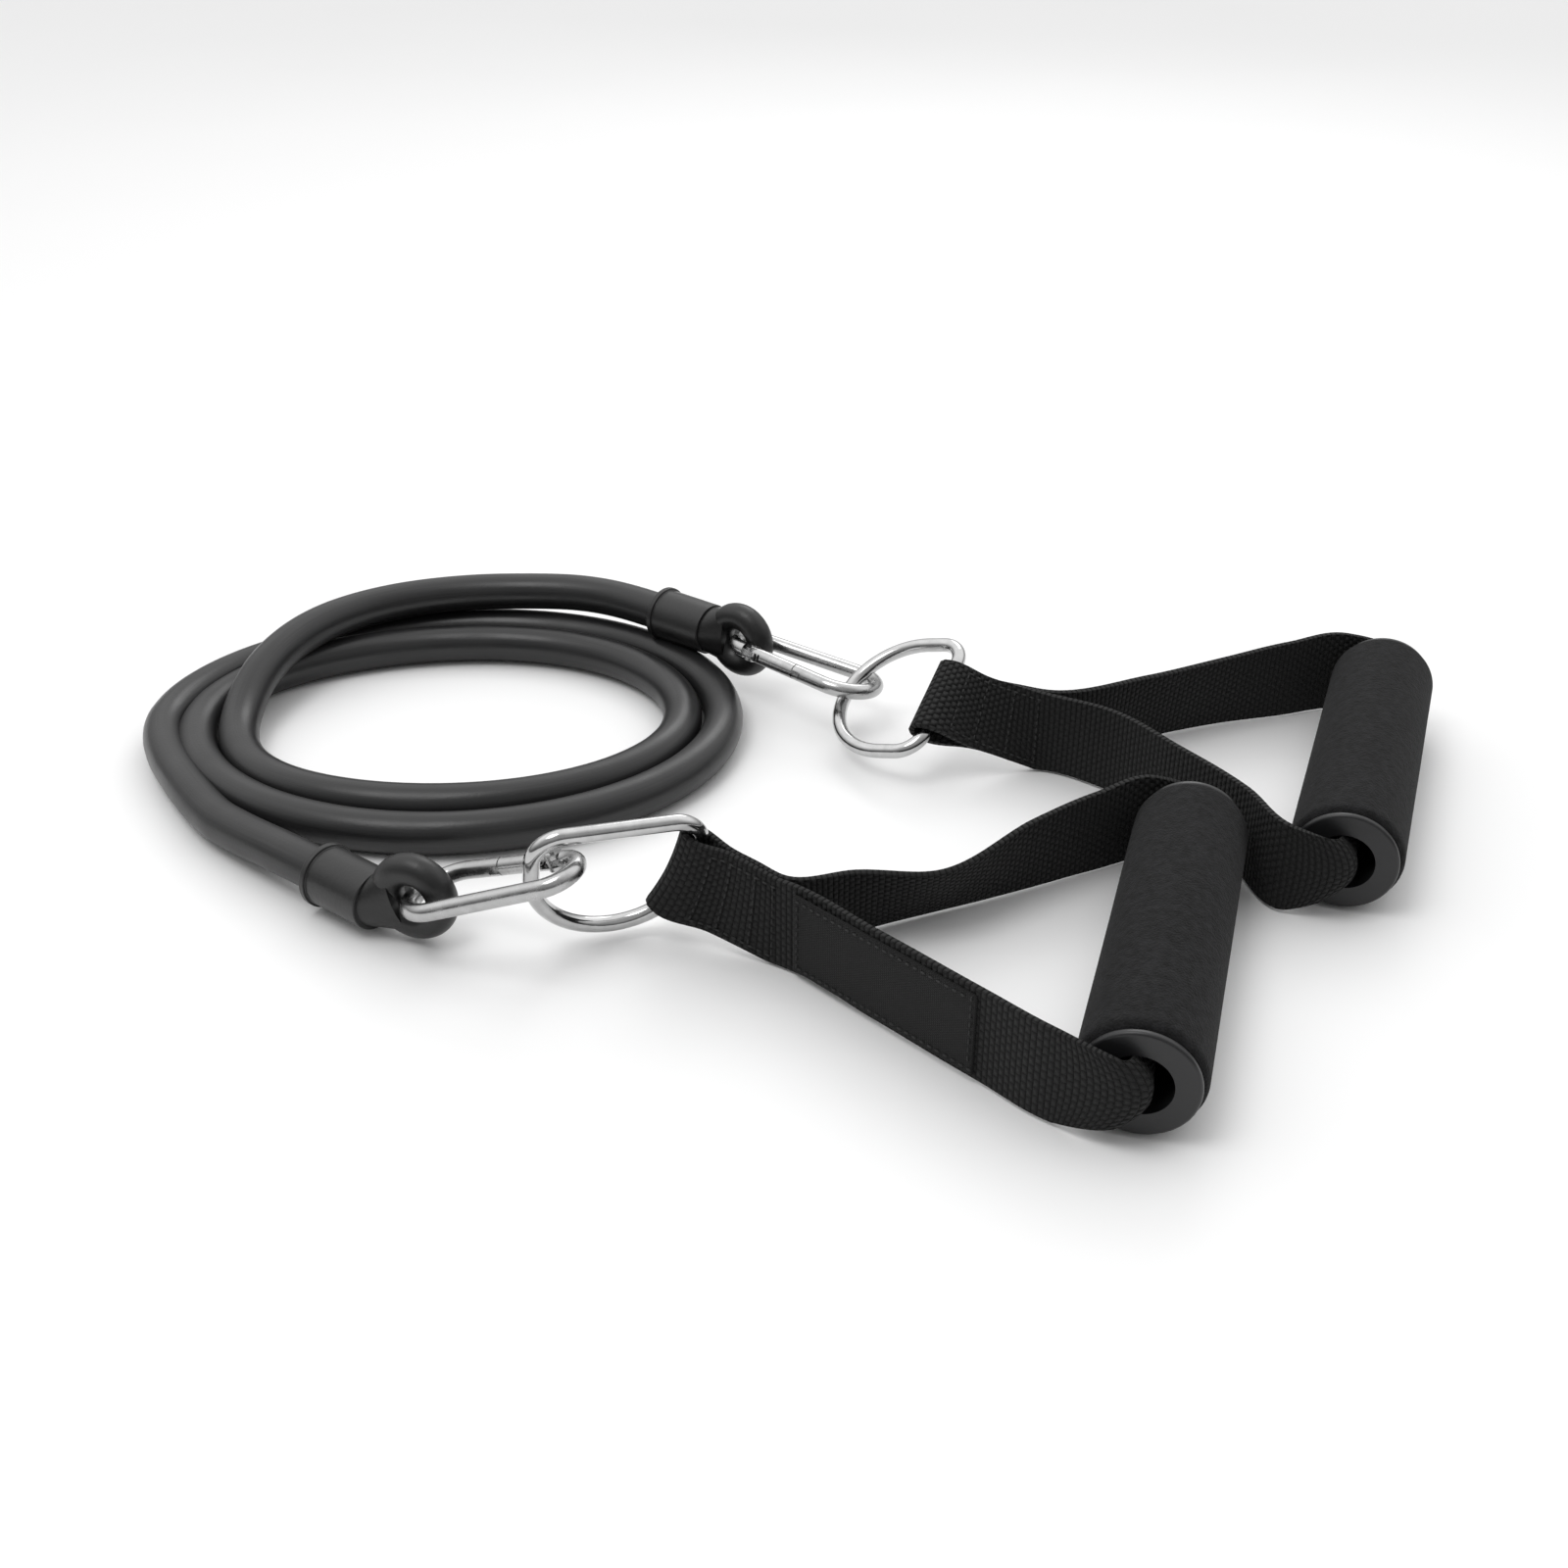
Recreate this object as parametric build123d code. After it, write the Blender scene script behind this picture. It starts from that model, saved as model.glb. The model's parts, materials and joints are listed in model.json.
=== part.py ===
"""Resistance tube with snap hooks, D-rings, webbing straps and foam grips.

The tube lies in a loose oval coil.  Each of its two ends carries the same set: a folded
rubber eye in a sleeve, a snap hook, a D-ring, a webbing strap and a foam-covered grip.
Millimetres, +Z up, the floor is z = 0 and the front of the object is -Y.
"""
from build123d import *
from math import cos, radians, sin, sqrt
import os

# ---------------------------------------------------------------- driving dimensions
TUBE_D = 14.0            # rubber tube
TUBE_R = TUBE_D / 2

SLEEVE_R = 9.5           # rubber sleeve over the folded tube end
SLEEVE_L = 24.0
SLEEVE_LIP = 0.8         # flared lip at the tube side
SLEEVE_LIP_L = 2.0
SLEEVE_EDGE = 0.35
SLEEVE_ROOM = 1.0        # left free round a sleeve that lies across the coil
FERRULE_R = 8.6          # metal ferrule hidden under the sleeve
FERRULE_L = 12.0
FERRULE_FROM = 5.0       # from the sleeve's tube side
EYE_R = 9.2              # mid radius of the rubber eye
EYE_BAND_R = 4.9         # half thickness of the rubber round the eye
EYE_NECK_R = 9.0         # at the sleeve
EYE_SHOULDER = (11.5, 5.6)                  # half height and half width beside the eye
EYE_SHOULDER_AT = 5.0    # before the eye's centre
EYE_REACH = 14.0         # sleeve end to eye centre

WIRE_R = 2.8             # snap hook wire
HOOK_L = 57.0            # between the centre lines of the two end bends
HOOK_WIDE_R = 12.0       # centre line radius of the wide end
HOOK_NARROW_R = 8.5
GATE_FROM = 11.0         # along the hook, pivot of the gate
GATE_TO = 31.0           # along the hook, nose of the gate
GATE_SLOT = 2.4
TONGUE_T = 2.2           # flat tongues on the hook's two wire ends
TONGUE_L = 3.4
HEEL_GAP = 3.3           # pivot to the wire end beside the gate's barrel
PIVOT_PIN_R = 0.9
SPRING_WIRE_R = 0.25
SPRING_R = 1.05
GATE_BORE_R = 1.7

RING_WIRE_R = 2.5        # welded D-ring
RING_HALF = 25.0
RING_DEPTH = 40.0
RING_CORNER_R = 9.0
RING_GAP = 0.6           # clearance from the hook's end bend

WEB_W = 30.0             # webbing
WEB_T = 2.0
WEB_LOW = 0.5            # lower edge above the floor
FOLD_CLEAR = 0.4         # fold bore beyond the ring wire
GATHER = 13.0            # height of the webbing gathered inside the grip
GATHER_FROM = 34.0       # beside the grip's axis, where the full width starts to gather
GATHER_TO = 13.0
BORE_TURN_R = 7.0        # bend of the webbing into the grip
PLY_BEND_R = 25.0
SPLIT_R = 2.5            # bend where the two plies part
SEWN_PAST = 4.0          # sewn stretch beyond the point where the plies part
SEWN_INSET = 0.4         # sewn stretch narrower than the plies
CURVED_CLEAR = 1.7       # fold bore beyond the wire where the fold bends round the ring
LABEL_L = 68.0
LABEL_H = 26.0
LABEL_T = 0.8

GRIP_L = 133.0
GRIP_R = 17.5
FOAM_EDGE = 2.5
CORE_R = 12.5
CORE_BORE_R = 10.0
CAP_R = 16.2
CAP_T = 2.5
CAP_BORE_R = 9.2
CAP_SPIGOT_L = 14.0
CAP_EDGE = 1.0

# oval coil on the floor: outer and inner outline, and the run that lies on top of it
COIL_OUT = (-166.0, 83.5, 108.0, 87.0)      # centre x, y, half length, half width
COIL_IN = (-161.0, 86.0, 74.0, 56.0)
COIL_TOP = (-161.0, 83.0, 100.0, 82.0)
TOP_FROM, TOP_TO = 76.0, 150.0              # degrees round the oval
TUBE_FLOOR_GAP = 0.3
CENTRING = (2.8, -4.0, 0.0)                 # puts the frame's origin under the middle
COIL_EDGE = 5.0


def heading(azimuth, rise=0.0):
    """Unit vector with this azimuth in the floor plane and this rise, in degrees."""
    a, b = radians(azimuth), radians(rise)
    return Vector(cos(a) * cos(b), sin(a) * cos(b), sin(b))


def rod(start, end, radius):
    """Round bar between two points."""
    run = end - start
    return Plane(start, z_dir=run) * extrude(Circle(radius), run.length)


def sweep_round(path, radius):
    """Round bar along a smooth path that starts at its first point."""
    return sweep(Plane(path @ 0, z_dir=path % 0) * Circle(radius), path=path)


def single(shape):
    """The one solid of a result, or the shape itself when it holds several."""
    solids = shape.solids()
    return solids[0] if len(solids) == 1 else Compound(children=list(solids))


# ---------------------------------------------------------------- rubber tube
def tube_lead(points):
    """Tube along a route of straight runs joined by the largest arcs that fit."""
    points = [Vector(*p) for p in points]
    radii = []
    for before, here, after in zip(points, points[1:], points[2:]):
        turn = (here - before).get_angle(after - here)
        shorter = min((here - before).length, (after - here).length)
        radii.append(0.45 * shorter / sin(radians(turn / 2)) * cos(radians(turn / 2)))
    path = FilletPolyline(*points, radius=radii)
    print("tube run", round(path.length, 1), "mm, radii", [round(r, 1) for r in radii])
    return sweep_round(path, TUBE_R)


def oval_band(outer, inner, low, high):
    """Flat oval ring between two ellipses, from one height to another."""
    face = Pos(outer[0], outer[1]) * Ellipse(outer[2], outer[3])
    face -= Pos(inner[0], inner[1]) * Ellipse(inner[2], inner[3])
    return fillet((Pos(0, 0, low) * extrude(face, high - low)).edges(), COIL_EDGE)


def make_coil():
    """Outer shape of the coiled turns: a floor layer and the run that crosses on top."""
    floor = oval_band(COIL_OUT, COIL_IN, TUBE_FLOOR_GAP, TUBE_D + TUBE_FLOOR_GAP)
    x, y, half_x, half_y = COIL_TOP
    outer = (x, y, half_x + TUBE_R, half_y + TUBE_R)
    inner = (x, y, half_x - TUBE_R, half_y - TUBE_R)
    top = oval_band(outer, inner, TUBE_D - COIL_EDGE, 2 * TUBE_D)
    reach = 3 * half_x
    wedge = Polygon(
        (0, 0),
        (reach * cos(radians(TOP_FROM)), reach * sin(radians(TOP_FROM))),
        (reach * cos(radians(TOP_TO)), reach * sin(radians(TOP_TO))),
        align=None,
    )
    top &= Pos(x, y) * extrude(wedge, 3 * TUBE_D)
    coil = floor + top
    start = FAR["sleeve_at"] - FAR["sleeve_dir"] * 0.5
    seam = FAR["sleeve_at"] + FAR["sleeve_dir"] * SLEEVE_L
    eye = seam + FAR["eye_dir"] * EYE_REACH
    side = Vector(0, 0, 1).cross(FAR["eye_dir"]) * (EYE_BAND_R + SLEEVE_ROOM)
    coil -= rod(start, seam, SLEEVE_R + SLEEVE_ROOM)
    return single(coil - rod(eye - side, eye + side, EYE_R + EYE_BAND_R + SLEEVE_ROOM))


# ---------------------------------------------------------------- folded eye and sleeve
def make_end(start, sleeve_dir, eye_dir):
    """Sleeve, hidden ferrule and folded rubber eye of one tube end."""
    seam = start + sleeve_dir * SLEEVE_L
    centre = seam + eye_dir * EYE_REACH
    side = Vector(0, 0, 1).cross(eye_dir).normalized()

    sleeve = rod(start, seam, SLEEVE_R)
    lip = rod(start, start + sleeve_dir * SLEEVE_LIP_L, SLEEVE_R + SLEEVE_LIP)
    sleeve = fillet((sleeve + lip).edges().filter_by(GeomType.CIRCLE), SLEEVE_EDGE)
    ferrule_from = start + sleeve_dir * FERRULE_FROM
    ferrule = rod(ferrule_from, ferrule_from + sleeve_dir * FERRULE_L, FERRULE_R)
    ferrule -= rod(start, seam, TUBE_R)
    fold = rod(start, seam, TUBE_R)
    sleeve -= ferrule
    sleeve -= fold

    band = Plane(centre, z_dir=side) * Torus(EYE_R, EYE_BAND_R)
    shoulder = Plane(centre - eye_dir * EYE_SHOULDER_AT, x_dir=side, z_dir=eye_dir)
    neck = loft([
        Plane(seam - sleeve_dir * 1.0, x_dir=side, z_dir=sleeve_dir) * Circle(EYE_NECK_R - 0.5),
        shoulder * Ellipse(EYE_SHOULDER[1], EYE_SHOULDER[0]),
    ])
    eye = band + neck + fold
    eye -= rod(centre - side * EYE_R, centre + side * EYE_R, EYE_R - EYE_BAND_R)
    sleeve -= band
    sleeve -= neck
    return {"end_sleeve": single(sleeve), "ferrule": single(ferrule), "end_loop": single(eye)}


# ---------------------------------------------------------------- snap hook
HOOK_SPAN = HOOK_L - HOOK_WIDE_R - HOOK_NARROW_R
HOOK_SLOPE = (HOOK_WIDE_R - HOOK_NARROW_R) / HOOK_SPAN      # sine of each arm's splay
HOOK_COS = sqrt(1 - HOOK_SLOPE**2)
ARM_DIR = Vector(HOOK_COS, -HOOK_SLOPE)                     # the gate's arm


def arm_point(along):
    """Point on the centre line of the gate's arm, at this distance along the hook."""
    foot = Vector(HOOK_NARROW_R * (1 - HOOK_SLOPE), -HOOK_NARROW_R * HOOK_COS)
    return foot + ARM_DIR * ((along - foot.X) / HOOK_COS)


def make_hook():
    """Hook in its own frame: narrow end at the origin, wide end on +X, gate on -Y."""
    wide = Vector(HOOK_L - HOOK_WIDE_R, 0)
    narrow = Vector(HOOK_NARROW_R, 0)
    low_dir = Vector(-HOOK_SLOPE, -HOOK_COS)
    high_dir = Vector(-HOOK_SLOPE, HOOK_COS)
    nose = arm_point(GATE_TO)
    heel = arm_point(GATE_FROM)
    path = Wire([
        Edge.make_line(nose, wide + low_dir * HOOK_WIDE_R),
        Edge.make_three_point_arc(
            wide + low_dir * HOOK_WIDE_R,
            wide + Vector(HOOK_WIDE_R, 0),
            wide + high_dir * HOOK_WIDE_R,
        ),
        Edge.make_line(wide + high_dir * HOOK_WIDE_R, narrow + high_dir * HOOK_NARROW_R),
        Edge.make_three_point_arc(
            narrow + high_dir * HOOK_NARROW_R,
            Vector(0, 0),
            narrow + low_dir * HOOK_NARROW_R,
        ),
        Edge.make_line(narrow + low_dir * HOOK_NARROW_R, heel - ARM_DIR * HEEL_GAP),
    ])
    body = sweep_round(path, WIRE_R)

    arm = Plane(nose, x_dir=ARM_DIR, z_dir=(0, 0, 1))
    notch_open = Pos(TONGUE_L / 2, WIRE_R / 2, 0) * Box(TONGUE_L + 0.6, 3 * WIRE_R, GATE_SLOT)
    body -= arm * notch_open
    hinge = Plane(heel, x_dir=ARM_DIR, z_dir=(0, 0, 1))
    tongue = Pos(-HEEL_GAP / 2, 0, 0) * Box(HEEL_GAP + 2.0, 2 * WIRE_R - 1.8, TONGUE_T)
    tongue += Cylinder(WIRE_R - 0.9, TONGUE_T)
    body += hinge * tongue
    body -= hinge * Cylinder(PIVOT_PIN_R, 4 * WIRE_R)

    gate_l = (nose - heel).length
    along = Plane(heel, x_dir=(0, 0, 1), z_dir=ARM_DIR)
    gate = along * extrude(Circle(WIRE_R), gate_l - 0.4)
    gate += hinge * Cylinder(WIRE_R, 2 * WIRE_R - 0.6)
    fork_gap = Pos(0, 0, 0) * Box(2 * WIRE_R + 4.4, 4 * WIRE_R, TONGUE_T + 0.3)
    gate -= hinge * fork_gap
    gate -= along * Pos(0, 0, 4.6) * extrude(Circle(GATE_BORE_R), 9.0)
    gate += arm * Pos(TONGUE_L / 2 - 1.0, 0, 0) * Box(TONGUE_L - 0.6, 3.0, TONGUE_T - 0.2)
    gate -= hinge * Cylinder(PIVOT_PIN_R + 0.05, 4 * WIRE_R)
    pin = hinge * Cylinder(PIVOT_PIN_R, 2 * WIRE_R + 0.6)
    coil = Helix(pitch=1.1, height=7.7, radius=SPRING_R)
    spring = sweep(Plane(coil @ 0, z_dir=coil % 0) * Circle(SPRING_WIRE_R), path=coil)
    spring = along * Pos(0, 0, 5.2) * spring
    return {"body": single(body), "gate": single(gate), "gate_pin": single(pin),
            "gate_spring": single(spring)}


# ---------------------------------------------------------------- D-ring
RING_SIDE = RING_DEPTH - RING_CORNER_R - RING_HALF          # straight stretch of each side


def ring_point(angle):
    """Point on the ring's round side, in the ring's frame, at this angle from +X."""
    a = radians(angle)
    rise = RING_CORNER_R + RING_SIDE - RING_DEPTH / 2
    return Vector(RING_HALF * cos(a), rise + RING_HALF * sin(a))


def make_ring():
    """Ring in its own frame: bar along X at the low side, round side towards +Y."""
    low = -RING_DEPTH / 2
    flat = RING_HALF - RING_CORNER_R
    lean = RING_CORNER_R * (1 - sqrt(0.5))
    edges = [Edge.make_line((-flat, low), (flat, low))]
    for s in (1, -1):
        foot, mid = (s * flat, low), (s * (RING_HALF - lean), low + lean)
        knee = (s * RING_HALF, low + RING_CORNER_R)
        hip = (s * RING_HALF, low + RING_CORNER_R + RING_SIDE)
        edges += [Edge.make_three_point_arc(foot, mid, knee), Edge.make_line(knee, hip)]
    edges.append(Edge.make_three_point_arc(ring_point(0), ring_point(90), ring_point(180)))
    path = Wire(edges)
    return single(sweep_round(path, RING_WIRE_R))


# ---------------------------------------------------------------- webbing strap
def make_strap(plan, side):
    """Webbing: the fold round the ring, a sewn stretch and a loop through the grip."""
    split, grip, grip_dir = side["split"], side["grip_at"], side["grip_dir"]
    front = grip - grip_dir * side["front_reach"]
    rear = grip + grip_dir * (GRIP_L + side["rear_reach"])
    high = WEB_LOW + WEB_W
    corners = [split, *side["front_via"], (front.X, front.Y), (rear.X, rear.Y),
               *side["rear_via"]]
    radii = [SPLIT_R] + [PLY_BEND_R] * len(side["front_via"]) + [BORE_TURN_R] * 2
    radii += [PLY_BEND_R] * len(side["rear_via"])
    loop = FilletPolyline(*corners, radius=radii, close=True)
    outer = make_face(loop.wire().offset_2d(WEB_T / 2).edges())
    inner = make_face(loop.wire().offset_2d(-WEB_T / 2).edges())
    web = Pos(0, 0, WEB_LOW) * extrude(outer - inner, WEB_W)

    across = Vector(grip_dir.Y, -grip_dir.X)
    side_view = Plane(grip, x_dir=across, z_dir=-grip_dir)
    half = GATHER / 2
    all_round = 2 * GRIP_L
    shape = Polygon(
        (-all_round, WEB_LOW - grip.Z), (-GATHER_FROM, WEB_LOW - grip.Z), (-GATHER_TO, -half),
        (GATHER_TO, -half), (GATHER_TO, half), (-GATHER_TO, half),
        (-GATHER_FROM, high - grip.Z), (-all_round, high - grip.Z), align=None,
    )
    web &= side_view * extrude(shape, all_round, both=True)
    return web + sewn_stretch(plan, split) + sweep_round(plan["fold"], plan["fold_bore"] + WEB_T)


def sewn_stretch(plan, split):
    """Two plies sewn together, turning from the fold's slant to upright."""
    at, axis = plan["fold_at"], plan["fold_axis"]
    end = Vector(split[0], split[1], WEB_LOW + WEB_W / 2)
    ahead = end - at
    out = (ahead - axis * ahead.dot(axis)).normalized()
    level = Vector(ahead.X, ahead.Y).normalized()
    section = Rectangle(WEB_W - SEWN_INSET, 2 * WEB_T)
    first = Plane(at + out * (plan["fold_bore"] + WEB_T / 2), x_dir=axis, z_dir=out)
    last = Plane(end + level * SEWN_PAST, x_dir=(0, 0, 1), z_dir=level)
    return loft([first * section, last * section])


# ---------------------------------------------------------------- grip
def make_grip(near_end, grip_dir):
    """Foam sleeve, plastic core and two flanged caps on one axis."""
    axis = Plane(near_end, z_dir=grip_dir)
    foam_l = GRIP_L - 2 * CAP_T
    foam = extrude(Circle(GRIP_R), foam_l)
    foam = fillet(foam.edges(), FOAM_EDGE)
    foam = Pos(0, 0, CAP_T) * (foam - extrude(Circle(CORE_R), foam_l))
    core = Pos(0, 0, CAP_T) * extrude(Circle(CORE_R) - Circle(CORE_BORE_R), foam_l)
    cap = fillet(extrude(Circle(CAP_R), CAP_T).edges(), CAP_EDGE)
    cap += Pos(0, 0, CAP_T) * extrude(Circle(CORE_BORE_R), CAP_SPIGOT_L)
    cap -= extrude(Circle(CAP_BORE_R), CAP_T + CAP_SPIGOT_L)
    rear_cap = Pos(0, 0, GRIP_L) * Rot(180, 0, 0) * cap
    return {"grip_foam": single(axis * foam), "grip_core": single(axis * core),
            "grip_front_cap": single(axis * cap), "grip_rear_cap": single(axis * rear_cap)}


# ---------------------------------------------------------------- layout of the two ends
NEAR = {
    "sleeve_at": Vector(-186, -24, 10.7), "sleeve_dir": heading(-38), "eye_dir": heading(-20, 19),
    "hook_dir": heading(-19.7, 20.9), "wide_in_eye": True, "slack": 8.9,
    "roll": 0.0,
    "bar_dir": Vector(-0.95, -0.31, 0.04), "round_dir": Vector(-0.12, 0.24, -0.96),
    "ring_angle": 0.0, "curved_fold": True,
    "split": (-46.0, -57.0), "front_via": [(23.0, -127.0)], "front_reach": 14.0,
    "rear_via": [(62.0, 0.0), (31.0, -20.0), (0.0, -38.0)], "rear_reach": 14.0,
    "grip_at": Vector(45.0, -134.0, GRIP_R), "grip_dir": heading(73.4),
    "lead": [(-250, 36, 7.3), (-235, 18, 7.5), (-218, 2, 8.8)], "lead_end": 19.0,
}
FAR = {
    "sleeve_at": Vector(-91, 143, 22.0), "sleeve_dir": heading(-38), "eye_dir": heading(-38),
    "hook_dir": heading(-33.3, -5.3), "wide_in_eye": False, "slack": 1.6,
    "roll": -12.0,
    "bar_dir": Vector(0.39, 0.83, 0.41), "round_dir": Vector(-0.82, 0.52, -0.26),
    "ring_angle": 74.7, "curved_fold": False,
    "split": (44.0, 60.0), "front_via": [(64.0, 47.0), (99.0, -6.0), (107.0, -28.0)],
    "front_reach": 17.0,
    "rear_via": [(152.0, 106.0), (113.0, 91.0), (82.0, 78.0)], "rear_reach": 15.0,
    "grip_at": Vector(125.0, -28.0, GRIP_R), "grip_dir": heading(69.4),
    "lead": [(-137, 163.5, 22), (-121, 161.5, 22)], "lead_end": 17.0,
}


def lay_out(side):
    """Planes, points and axes of one end, worked out along the chain of parts."""
    seam = side["sleeve_at"] + side["sleeve_dir"] * SLEEVE_L
    eye = seam + side["eye_dir"] * EYE_REACH
    run = side["hook_dir"]
    lateral = Vector(0, 0, 1).cross(run).normalized()
    end = eye + run * HOOK_L
    hook_x, hook_at = (-run, end) if side["wide_in_eye"] else (run, eye)
    face = run.cross(lateral)
    hook = Plane(hook_at, x_dir=hook_x, z_dir=face.rotate(Axis((0, 0, 0), run), side["roll"]))

    touch = end - run * (WIRE_R + RING_WIRE_R + RING_GAP + side["slack"])
    ring = Plane((0, 0, 0), x_dir=side["bar_dir"],
                 z_dir=side["bar_dir"].cross(side["round_dir"]))
    centre = touch - ring.from_local_coords(ring_point(side["ring_angle"]))
    ring = Plane(centre, x_dir=ring.x_dir, z_dir=ring.z_dir)

    if side["curved_fold"]:
        marks = [Vector(-22.7, -17), ring_point(160), ring_point(120.7)]
        bulge = marks[1] - (marks[0] + marks[2]) * 0.5
        inset = bulge * 0.5
        bore_r = RING_WIRE_R + CURVED_CLEAR
    else:
        marks = [Vector(x, -RING_DEPTH / 2) for x in (-WEB_W / 2, 0, WEB_W / 2)]
        inset = Vector(0, 0)
        bore_r = RING_WIRE_R + FOLD_CLEAR
    points = [ring.from_local_coords(m) for m in marks]
    if side["curved_fold"]:
        fold = Edge.make_three_point_arc(*points)
    else:
        fold = Edge.make_line(points[0], points[2])
    chord = (points[2] - points[0]).normalized()
    chord = chord if chord.Z > 0 else -chord
    mid = (marks[0] + marks[2]) * 0.5 + inset
    axis_at = ring.from_local_coords(mid)
    return {"eye": eye, "lateral": lateral, "hook": hook, "touch": touch, "ring": ring,
            "fold": Wire([fold]), "fold_bore": bore_r, "fold_axis": chord, "fold_at": axis_at}


def build_end(name, side):
    """All the solids of one end of the tube, by node name."""
    plan = lay_out(side)
    parts = make_end(side["sleeve_at"], side["sleeve_dir"], side["eye_dir"])
    for piece, solid in make_hook().items():
        parts["hook_" + piece] = plan["hook"] * solid
    parts["d_ring"] = plan["ring"] * make_ring()

    web = make_strap(plan, side)
    parts["strap"] = single(web - sweep_round(plan["fold"], plan["fold_bore"]))
    parts.update(make_grip(side["grip_at"], side["grip_dir"]))
    return {name + "_" + key: value for key, value in parts.items()}


def make_label(side):
    """Plain woven label on the outer face of the front ply."""
    start = Vector(*side["split"])
    run = (Vector(*side["front_via"][0]) - start).normalized()
    outward = Vector(run.Y, -run.X)
    middle = start + run * (7 + LABEL_L / 2) + outward * (WEB_T + LABEL_T) / 2
    middle += Vector(0, 0, WEB_LOW + WEB_W / 2)
    label = Box(LABEL_L, LABEL_T, LABEL_H)
    label = fillet(label.edges().filter_by(Axis.Y), 1.0)
    return single(Plane(middle, x_dir=run, z_dir=(0, 0, 1)) * label)


def build_all():
    """Every solid of the object by node name."""
    coil = make_coil()
    nodes = {"tube_coil": coil}
    for name, side in (("near", NEAR), ("far", FAR)):
        last = side["sleeve_at"]
        lead = tube_lead(side["lead"] + [last - side["sleeve_dir"] * side["lead_end"], last])
        nodes[name + "_tube_lead"] = single(lead - coil)
        nodes.update(build_end(name, side))
    nodes["near_strap_label"] = make_label(NEAR)
    return {name: single(Pos(*CENTRING) * solid) for name, solid in nodes.items()}


def write_all():
    """Write one STEP file per node."""
    os.makedirs("parts", exist_ok=True)
    for name, solid in build_all().items():
        solid.label = name
        export_step(solid, "parts/" + name + ".step")


if __name__ == "__main__":
    write_all()
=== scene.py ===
"""Looks of the resistance band: rubber tube, webbing straps, foam grips and metal fittings."""

import json
from math import cos, pi, radians, sin, tau

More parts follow.
